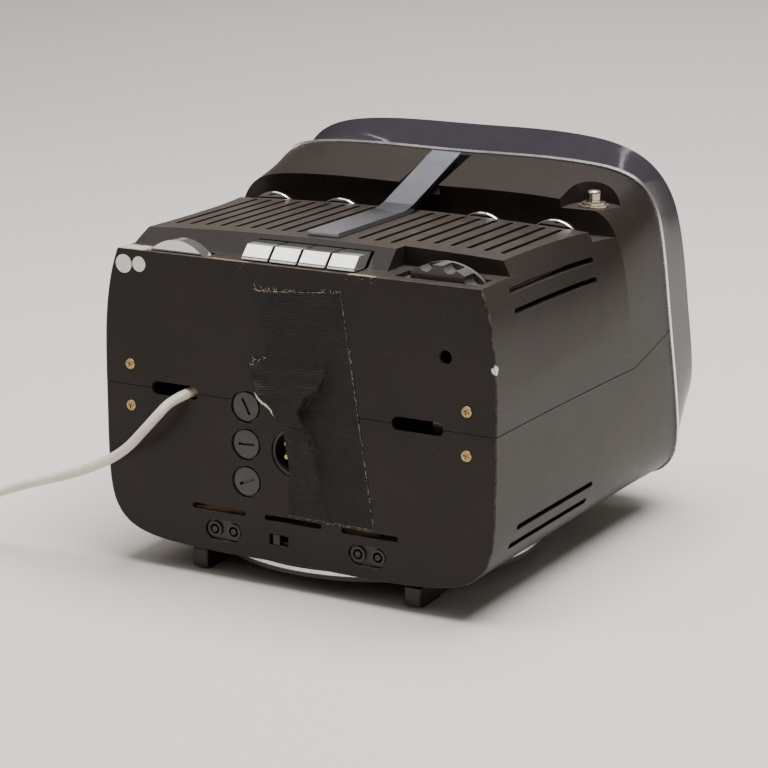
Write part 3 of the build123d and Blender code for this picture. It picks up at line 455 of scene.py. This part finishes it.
# nickel plate gone warm with handling
def warmNickel():
    return surface("warmNickel", {
        "base": "#d9cfc0", "second": "#b9ab97", "patch": 3,
        "rough": (0.12, 0.3), "dust": 0.3, "specks": 0.3,
        "grain": 0.5, "relief": 0.02, "metal": True
    })[0]


# yellow passivated zinc on steel screws
def yellowZinc():
    return surface("yellowZinc", {
        "base": "#c9ae7c", "second": "#8f7a52", "patch": 1.2,
        "rough": (0.28, 0.5), "dust": 0.3, "specks": 0.3,
        "grain": 0.25, "relief": 0.05, "metal": True
    })[0]


# rolled steel sheet, tinned: straps, chassis, cans and shafts
def tinnedSteel():
    return surface("tinnedSteel", {
        "base": "#b2b1ac", "second": "#908e88", "patch": 7,
        "rough": (0.25, 0.45), "dust": 0.35, "specks": 0.3,
        "grain": 0.4, "relief": 0.02, "brushed": (1, 0.06, 1), "metal": True
    })[0]


# drawn brass contacts and pins
def drawnBrass():
    return surface("drawnBrass", {
        "base": "#d2b473", "second": "#a98a4d", "patch": 2.5,
        "rough": (0.16, 0.34), "dust": 0.15, "specks": 0.2,
        "grain": 0.3, "relief": 0.02, "brushed": (1, 0.05, 1), "metal": True
    })[0]


# enamelled copper wire wound in layers, lacquered
def woundCopper():
    return surface("woundCopper", {
        "base": "#9a4f27", "second": "#6f3518", "patch": 4,
        "rough": (0.25, 0.4), "dust": 0.3, "specks": 0.2,
        "grain": 0.5, "relief": 0.3, "brushed": (0.05, 1, 1), "strength": 1.0, "metal": True
    })[0]


# paper and phenolic laminate, the amber-brown of a printed board, with flux and dust on it
def phenolicBoard():
    return surface("phenolicBoard", {
        "base": "#9a6a34", "second": "#7d5226", "patch": 12,
        "rough": (0.35, 0.55), "dust": 0.4, "specks": 0.3,
        "grain": 0.5, "relief": 0.05
    })[0]


# sleeved capacitors and dipped coils
def sleevedParts():
    return surface("sleevedParts", {
        "base": "#2f4163", "second": "#56452d", "patch": 9,
        "rough": (0.25, 0.45), "dust": 0.4, "specks": 0.3,
        "grain": 1.0, "relief": 0.05
    })[0]


# picture tube: grey-green glass, the panel polished
def tubeGlass():
    return surface("tubeGlass", {
        "base": "#5b625c", "second": "#545b56", "patch": 50,
        "rough": (0.03, 0.08), "dust": 0.1, "specks": 0.1,
        "grain": 20, "relief": 0.01
    })[0]


# natural rubber, matt and slightly bloomed
def rubberPad():
    return surface("rubberPad", {
        "base": "#151413", "second": "#1f1d1b", "patch": 4,
        "rough": (0.75, 0.9), "dust": 0.2, "specks": 0.3,
        "grain": 0.4, "relief": 0.08
    })[0]


# plasticised PVC, once white, yellowed and handled grey
def agedPvc():
    return surface("agedPvc", {
        "base": "#e6dfd0", "second": "#d3c8b4", "patch": 18,
        "rough": (0.34, 0.5), "dust": 0.25, "specks": 0.25,
        "grain": 0.7, "relief": 0.03, "dustColour": "#8d8271"
    })[0]


# gummed paper dots
def gummedPaper():
    return surface("gummedPaper", {
        "base": "#e9e7e2", "second": "#dcd8cf", "patch": 2.5,
        "rough": (0.6, 0.75), "dust": 0.2, "specks": 0.2,
        "grain": 0.25, "relief": 0.03, "dustColour": "#a59c8d"
    })[0]


def dressAll():
    chrome, steel, black, board = brightChrome(), tinnedSteel(), blackMoulding(), phenolicBoard()
    brass, nickel = drawnBrass(), warmNickel()
    pvc = agedPvc()
    dress(mouldedAbs(), "upper_shell", "lower_shell")
    dress(stripChrome(), "front_trim_strip")
    dress(chrome, "key_1", "key_2", "key_3", "key_4", "volume_wheel", "turntable_ring")
    dress(chrome, "thumbwheel_1", "thumbwheel_2", "thumbwheel_3", "thumbwheel_4")
    dress(satinChrome(), "handle")
    dress(smokedAcrylic(), "front_visor")
    dress(black, "screen_mask", "tube_base", "power_socket", "aerial_sockets", "mode_switch", "mode_slider")
    dress(black, "fuse_holders", "line_transformer", "loudspeaker", "base_plate")
    dress(capMoulding(), "fuse_cap_1", "fuse_cap_2", "fuse_cap_3")
    dress(flutedWheel(), "tuning_wheel")
    dress(nickel, "aerial_socket", "aerial_section_1", "aerial_section_2", "aerial_section_3")
    dress(nickel, "aerial_section_4")
    dress(yellowZinc(), "rear_screws")
    dress(steel, "tube_band", "handle_bracket", "handle_pin", "volume_pot", "tuner_box", "joining_straps")
    dress(steel, "mains_transformer", "chassis_plate", "pivot_bolt")
    dress(brass, "power_contacts", "plug_prongs")
    dress(woundCopper(), "deflection_yoke")
    dress(board, "key_switch_bank", "preset_pots", "main_board")
    dress(sleevedParts(), "board_components")
    dress(tubeGlass(), "picture_tube", "fuses")
    dress(rubberPad(), "runner_pads")
    dress(pvc, "mains_plug")
    dress(gummedPaper(), "round_labels")
    return pvc


pvc = dressAll()
print("materials on the carried-over parts")

# mains lead: round PVC flex, in metres (right, depth, height over the seam)
lead = {
    "radius": 2.6 * mm, "coil": (0.266, -0.060), "coilRadius": 0.029, "across": 5.4 * mm,
    "layer": 5.3 * mm, "turnPoints": 24, "ground": -seamZ,
    "route": [
        (0.058, 0.020, 0.0006), (0.0665, -0.005, 0.0004), (0.076, -0.0175, -0.0145), (0.093, -0.019, -0.033),
        (0.122, -0.0195, -0.047), (0.158, -0.020, -0.0585), (0.190, -0.0215, -0.072),
        (0.216, -0.0245, -0.0915), (0.236, -0.026, -0.0964), (0.256, -0.0256, -0.0964),
    ],
    "sleeve": ((0.02, 3.9), (0.2, 3.6), (0.38, 2.85), (0.52, 2.72), (0.62, 2.66)),
    "tail": [(0.2955, -0.077, -0.0858), (0.2953, -0.090, -0.0885), (0.295, -0.102, -0.090)],
}


def coilTurns():
    # three turns inward on the floor, three outward on top of them, then two and a quarter more
    rest = lead["radius"] + lead["ground"]
    stops = ((0, 1, 0), (2, -1, 0), (3, -1, 1), (5, 1, 1), (6, 1, 2), (7, 0, 2), (8.25, 0, 2))
    points = []
    for step in range(1, int(8.25 * lead["turnPoints"]) + 1):
        turn = step / lead["turnPoints"]
        low, high = next((a, b) for a, b in zip(stops, stops[1:]) if turn <= b[0])
        share = (turn - low[0]) / (high[0] - low[0])
        across = low[1] + (high[1] - low[1]) * share
        layer = low[2] + (high[2] - low[2]) * share
        radius = lead["coilRadius"] + across * lead["across"]
        angle = math.radians(360 * turn - 90)
        points.append((
            lead["coil"][0] + radius * math.cos(angle), lead["coil"][1] - radius * math.sin(angle),
            rest + layer * lead["layer"]
        ))
    return points


def makeLead():
    curve = newCurve("mains_lead", lead["radius"], 6)
    addSpline(curve, [place(*point) for point in lead["route"] + coilTurns() + lead["tail"]])
    curve.resolution_u = 6
    curve.use_fill_caps = True
    return linkCurve(curve)


def makeStrainRelief():
    # a tapered sleeve round the lead where it comes through the wall
    start, bend, after = (place(*point) for point in lead["route"][:3])
    end = (bend + after) / 2
    curve = newCurve("strainRelief", mm, 6)
    curve.use_fill_caps = True
    spline = addSpline(curve, [
        start * (1 - share) ** 2 + bend * 2 * share * (1 - share) + end * share ** 2
        for share, radius in lead["sleeve"]
    ])
    for knot, (share, radius) in zip(spline.points, lead["sleeve"]):
        knot.radius = radius
    return curveToMesh(curve)


mainsLead = makeLead()
mainsLead.data.materials.append(pvc)
strainRelief = makeStrainRelief()
strainRelief.data.materials.append(pvc)
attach(strainRelief, "cabinet")
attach(mainsLead, "cabinet")
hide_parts("cord_lead", "cord_coil", "cord_tail")
print("mains lead laid")

# repair tape: black coated cloth, ribbed across, laid by hand, with a fold down its middle
tape = {
    "width": 50.0, "length": 122.0, "cell": 0.62, "thick": 0.34 * mm,
    "corners": ((20.7, 58.5), (-28.7, 63.0), (2.0, -57.5), (-47.3, -57.5)),
    "rib": 1.25, "thread": 0.62, "peel": {"middle": 60, "half": 7, "deep": 1.5},
    "fold": (
        (38, 33.4), (44, 33.4), (50, 30.4), (56, 21), (63, 16.5), (70, 17), (79, 19.4), (87, 21.9),
        (104, 21.6)
    ),
    "foldHeight": (
        (27, 0), (38, 1.0), (46, 3.2), (53, 4.8), (66, 4.9), (71, 2.2), (79, 3.2), (92, 2.8), (108, 0)
    ),
    "leftEdge": (
        (0, 0), (30, 1.0), (35, 0.6), (38, -7.0), (48, -7.4), (56, -5.2), (64, 1.2), (72, 3.7), (95, 4.0),
        (110, 1.0), (122, -0.8)
    ),
    "curl": ((36, 0), (44, 2.2), (55, 4.0), (64, 2.2), (70, 0)),
}


def along(stops, where):
    if where <= stops[0][0]:
        return stops[0][1]
    for (a, low), (b, high) in zip(stops, stops[1:]):
        if where <= b:
            share = (where - a) / (b - a)
            return low + (high - low) * share * share * (3 - 2 * share)
    return stops[-1][1]


def tapePoint(across, down):
    # across and down are millimetres on the flat tape, from its upper left corner
    topLeft, topRight, lowLeft, lowRight = tape["corners"]
    a, b = across / tape["width"], down / tape["length"]
    flat = [
        (topLeft[i] * (1 - a) + topRight[i] * a) * (1 - b) + (lowLeft[i] * (1 - a) + lowRight[i] * a) * b
        for i in (0, 1)
    ]
    shift = along(tape["leftEdge"], down) * max(0.0, 1 - across / 24) ** 1.4
    fromFold = along(tape["fold"], down) - across
    height = along(tape["foldHeight"], down)
    if fromFold < 0:
        rise = height * math.exp(-(fromFold / 1.0) ** 2)
    else:
        lower = min(1.0, max(0.0, (down - 60) / 14))
        tail = math.exp(-(fromFold / (16 - 6 * lower)) ** 2)
        rise = height * (tail * (0.5 + 0.5 * lower) + 0.5 * (1 - lower))
    rise += along(tape["curl"], down) * max(0.0, 1 - across / 10) ** 2
    spot = Vector((across * 0.09, down * 0.22, 3.0))
    creases = 1 - abs(noise.noise(spot)) * 2.2
    rise += 0.4 * max(0.0, creases) ** 5 + 0.15 * noise.noise(Vector((across * 0.2, down * 0.1, 8.0)))
    edge = 0.35 * noise.noise(Vector((across * 0.02, down * 0.4, 1.0)))
    inner = min(1.0, across / 6, (tape["width"] - across) / 6)
    sink = 0.25 * (1 - inner)
    return place((flat[0] - shift + edge) * mm, -(0.42 + max(0.0, rise - sink)) * mm, flat[1] * mm)


def makeTape():
    deselectAll()
    columns, rows = int(tape["width"] / tape["cell"]), int(tape["length"] / tape["cell"])
    bpy.ops.mesh.primitive_grid_add(x_subdivisions=columns, y_subdivisions=rows, size=1)
    piece = bpy.context.object
    piece.name = "clothTape"
    for vertex in piece.data.vertices:
        across, down = vertex.co.x + 0.5, 0.5 - vertex.co.y
        vertex.co = tapePoint(across * tape["width"], down * tape["length"])
    bpy.ops.object.mode_set(mode="EDIT")
    bpy.ops.mesh.select_all(action="SELECT")
    bpy.ops.mesh.normals_make_consistent(inside=False)
    bpy.ops.object.mode_set(mode="OBJECT")
    if sum(face.normal.y for face in piece.data.polygons) < 0:
        bpy.ops.object.mode_set(mode="EDIT")
        bpy.ops.mesh.flip_normals()
        bpy.ops.object.mode_set(mode="OBJECT")
    bpy.ops.object.shade_smooth()
    solid = piece.modifiers.new("cloth", "SOLIDIFY")
    solid.thickness = tape["thick"]
    solid.offset = -1
    solid.material_offset = 1
    solid.material_offset_rim = 1
    bpy.ops.object.modifier_apply(modifier="cloth")
    return piece


# polyethylene-coated cotton cloth: the ribs of the weave show through the black coating
def coatedCloth():
    material, shader = surface("coatedCloth", {
        "base": "#100f0f", "second": "#161515", "patch": 10,
        "rough": (0.5, 0.68), "dust": 0.06, "specks": 0.1,
        "grain": 0.35, "relief": 0.03
    })
    flat = addNode(material, "SeparateXYZ", feeds={0: addNode(material, "TexCoord").outputs["UV"]})
    wobble = addNode(material, "TexNoise", feeds={
        "Vector": addNode(material, "TexCoord").outputs["UV"], "Scale": 5.0, "Detail": 3.0
    }).outputs["Fac"]
    down = addNode(material, "Math", {"operation": "MULTIPLY_ADD"}, {
        0: wobble, 1: 0.008, 2: flat.outputs["Y"]
    })
    ribs = addNode(material, "Math", {"operation": "MULTIPLY"}, {
        0: down.outputs[0], 1: math.tau * tape["length"] / tape["rib"]
    })
    ribs = addNode(material, "Math", {"operation": "SINE"}, {0: ribs.outputs[0]}).outputs[0]
    threads = addNode(material, "Math", {"operation": "MULTIPLY"}, {
        0: flat.outputs["X"], 1: math.tau * tape["width"] / tape["thread"]
    })
    threads = addNode(material, "Math", {"operation": "SINE"}, {0: threads.outputs[0]}).outputs[0]
    weave = addNode(material, "Math", {"operation": "MULTIPLY_ADD"}, {
        0: threads, 1: 0.35, 2: ribs
    }).outputs[0]
    bump = addNode(material, "Bump", feeds={
        "Height": weave, "Strength": 0.55, "Distance": 0.1 * mm,
        "Normal": shader.inputs["Normal"].links[0].from_socket
    }).outputs[0]
    material.node_tree.links.new(bump, shader.inputs["Normal"])
    worn = addNode(material, "MapRange", feeds={
        "Value": ribs, "From Min": 0.3, "From Max": 1.0, "To Max": 0.09
    })
    colour = addNode(material, "Mix", {"data_type": "RGBA"}, {
        0: worn.outputs[0], 6: shader.inputs["Base Color"].links[0].from_socket, 7: toLinear("#4a4846")
    }).outputs[2]
    # the coating has peeled from the lifted left edge and shows cream adhesive there
    peel = tape["peel"]
    level = addNode(material, "Math", {"operation": "MULTIPLY_ADD"}, {
        0: flat.outputs["Y"], 1: -tape["length"], 2: tape["length"] - peel["middle"]
    })
    level = addNode(material, "Math", {"operation": "ABSOLUTE"}, {0: level.outputs[0]}).outputs[0]
    reach = addNode(material, "MapRange", feeds={
        "Value": level, "From Min": 0.0, "From Max": peel["half"], "To Min": peel["deep"], "To Max": 0.0
    }).outputs[0]
    inward = addNode(material, "Math", {"operation": "MULTIPLY"}, {0: flat.outputs["X"], 1: tape["width"]})
    bare = addNode(material, "Math", {"operation": "LESS_THAN"}, {
        0: inward.outputs[0], 1: reach
    }).outputs[0]
    colour = addNode(material, "Mix", {"data_type": "RGBA"}, {
        0: bare, 6: colour, 7: toLinear("#cfc3ab")
    }).outputs[2]
    # cut ends of the cotton show as a broken cream line along the right, upper and lower edges
    sides = (
        (flat.outputs["X"], tape["width"], 1), (flat.outputs["Y"], tape["length"], 1),
        (flat.outputs["Y"], tape["length"], -1),
    )
    picked = addNode(material, "TexNoise", feeds={
        "Vector": addNode(material, "TexCoord").outputs["Object"], "Scale": perMm(1.8), "Detail": 4.0,
        "Roughness": 0.7
    }).outputs["Fac"]
    picked = addNode(material, "MapRange", feeds={
        "Value": picked, "From Min": 0.47, "From Max": 0.6, "To Max": 0.55
    })
    for share, extent, way in sides:
        inward = addNode(material, "Math", {"operation": "MULTIPLY_ADD"}, {
            0: share, 1: -way * extent, 2: extent if way > 0 else 0.0
        }).outputs[0]
        edge = addNode(material, "MapRange", feeds={
            "Value": inward, "From Min": 0.5, "From Max": 0.15
        }).outputs[0]
        amount = addNode(material, "Math", {"operation": "MULTIPLY"}, {
            0: edge, 1: picked.outputs[0]
        }).outputs[0]
        colour = addNode(material, "Mix", {"data_type": "RGBA"}, {
            0: amount, 6: colour, 7: toLinear("#bfb49d")
        }).outputs[2]
    material.node_tree.links.new(colour, shader.inputs["Base Color"])
    shader.inputs["Specular IOR Level"].default_value = 0.3
    return material


# cotton threads and dried rubber adhesive, cream-coloured
def driedAdhesive():
    return surface("driedAdhesive", {
        "base": "#bdb3a0", "second": "#9a8f7c", "patch": 1.5,
        "rough": (0.6, 0.8), "dust": 0.2, "specks": 0.3,
        "grain": 0.3, "relief": 0.1
    })[0]


frayed = {"count": 80, "corner": 13, "thick": 0.06 * mm, "long": (0.6, 2.6)}


def makeFrays():
    # loose thread ends round the cut edges, more of them at the upper left corner
    curve = newCurve("tapeThreads", frayed["thick"], 1)
    curve.resolution_u = 4
    for index in range(frayed["count"]):
        side = index % 5
        spread = random.random()
        if side in (0, 1):
            start = (spread * frayed["corner"] if side else spread * tape["width"], 0)
            heading = (random.uniform(-1.4, 1.4), -0.7)
        elif side == 2:
            start, heading = (tape["width"], spread * tape["length"]), (1, 0.2)
        elif side == 3:
            start, heading = (0, 35 + spread * 5), (-1, 0.3)
        else:
            start, heading = (spread * tape["width"], tape["length"]), (0, 1)
        reach = random.uniform(*frayed["long"]) * (0.45 if side in (2, 4) else 1)
        bend = random.uniform(-1.8, 1.8)
        root = tapePoint(*start)
        points = []
        for step in range(5):
            go = reach * step / 4
            sway = bend * (step / 4) ** 2
            lift = 0.5 * math.sin(step * 1.1 + index) * step / 4
            right, down = heading[0] * go + heading[1] * sway, heading[1] * go - heading[0] * sway
            points.append(root + Vector((-right, lift, -down)) * mm + Vector((0, 0.1 * mm, 0)))
        addSpline(curve, points)
    return curveToMesh(curve)


clothTape = makeTape()
clothTape.data.materials.append(coatedCloth())
adhesive = driedAdhesive()
clothTape.data.materials.append(adhesive)
tapeThreads = makeFrays()
tapeThreads.data.materials.append(adhesive)
for piece in (clothTape, tapeThreads):
    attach(piece, "cabinet")
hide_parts("gaffer_tape")
print("repair tape laid")
